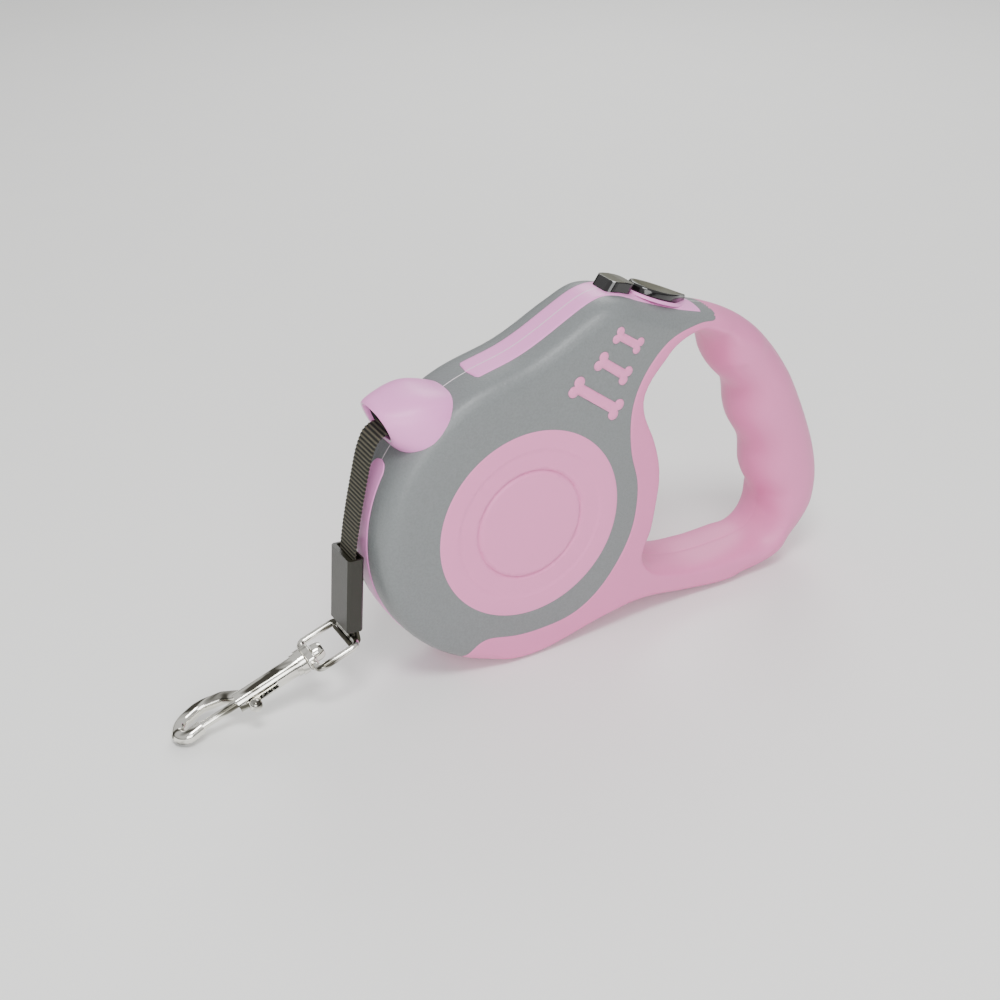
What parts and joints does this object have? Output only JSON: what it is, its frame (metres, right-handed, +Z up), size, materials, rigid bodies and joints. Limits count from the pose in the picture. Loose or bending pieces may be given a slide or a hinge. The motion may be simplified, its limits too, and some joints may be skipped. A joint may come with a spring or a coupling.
{
  "type": "retractable leash",
  "caption": "Retractable tape leash: round casing with loop handle and finger grooves, thumb brake and lock, tape leaving a nose spout to a sleeve, swivel eye and bolt snap.",
  "frame": {"origin": "on the resting plane, under the middle of casing and handle, in the casing's middle plane", "axes": "+X from the nose towards the handle, +Y across the casing to its right side, +Z up"},
  "size_m": [0.2395, 0.03, 0.1198],
  "materials": {
    "grey_shell": "fine matte texture",
    "pink_soft": "soft-touch satin",
    "pink_trim": "satin",
    "pink_disc": "satin",
    "black_button": "glossy sides, satin top",
    "inner_plastic": "plain moulded",
    "steel": "bright",
    "webbing": "ribbed woven nylon",
    "sleeve_plastic": "satin",
    "chrome": "polished die casting"
  },
  "bodies": {
    "housing": {"shell_left": "grey_shell", "shell_right": "grey_shell", "grip_left": "pink_soft", "grip_right": "pink_soft", "nose_cap": "pink_trim", "top_strip_left": "pink_trim", "top_strip_right": "pink_trim", "front_strip_left": "pink_trim", "front_strip_right": "pink_trim", "medallion_left": "pink_disc", "medallion_right": "pink_disc", "bones_left": "pink_disc", "bones_right": "pink_disc", "axle": "steel", "spring_arbor": "steel", "power_spring": "steel", "guide_pins": "steel", "case_screws": "steel", "inner_tape": "webbing", "spring_ledge": "inner_plastic", "brake_spring": "steel"},
    "reel": {"reel": "inner_plastic", "reel_flange": "inner_plastic", "spring_case": "inner_plastic", "spring_cover": "inner_plastic", "wound_tape": "webbing"},
    "brake": {"brake_pad": "black_button", "brake_plunger": "inner_plastic"},
    "lock": {"lock_button": "black_button", "lock_catch": "inner_plastic"},
    "lead": {"tape": "webbing", "end_loop": "webbing", "tape_sleeve": "sleeve_plastic"},
    "eye": {"eye_ring": "chrome"},
    "snap": {"hook_body": "chrome", "swivel_rivet": "chrome", "bolt_spring": "steel"},
    "bolt": {"bolt_rod": "chrome", "thumb_stud": "chrome"}
  },
  "joints": [
    {"name": "reel_spin", "type": "hinge", "parent": "housing", "child": "reel", "pos_m": [-0.03561, 0, 0.04995], "axis": [0, -1, 0], "range_deg": [0, 9720], "stiffness_Nm_per_rad": 0.0005, "springref_deg": -9740.28, "deforming": ["power_spring"]},
    {"name": "leash_payout", "type": "slide", "parent": "housing", "child": "lead", "axis": [-1, 0, 0], "range_m": [0, 5.001], "deforming": ["tape"]},
    {"name": "brake_press", "type": "slide", "parent": "housing", "child": "brake", "axis": [-0.451, 0, -0.8925], "range_m": [0, 0.0026], "stiffness_N_per_m": 1500, "springref_m": -0.002, "deforming": ["brake_spring"]},
    {"name": "lock_slide", "type": "slide", "parent": "housing", "child": "lock", "axis": [0.9707, 0, -0.2402], "range_m": [0, 0.0015]},
    {"name": "eye_pivot", "type": "hinge", "parent": "lead", "child": "eye", "pos_m": [-0.09411, 0, 0.02165], "axis": [0, 1, 0], "range_deg": [-55, 70]},
    {"name": "snap_swivel", "type": "hinge", "parent": "eye", "child": "snap", "pos_m": [-0.10735, 0, 0.01711], "axis": [0.9461, 0, 0.3239], "continuous": true},
    {"name": "bolt_slide", "type": "slide", "parent": "snap", "child": "bolt", "axis": [0.9461, 0, 0.3239], "range_m": [0, 0.006], "stiffness_N_per_m": 300, "springref_m": -0.006, "deforming": ["bolt_spring"]}
  ],
  "couplings": [
    {"joint": "leash_payout", "follows": "reel_spin", "m_per_rad": 0.029473}
  ]
}
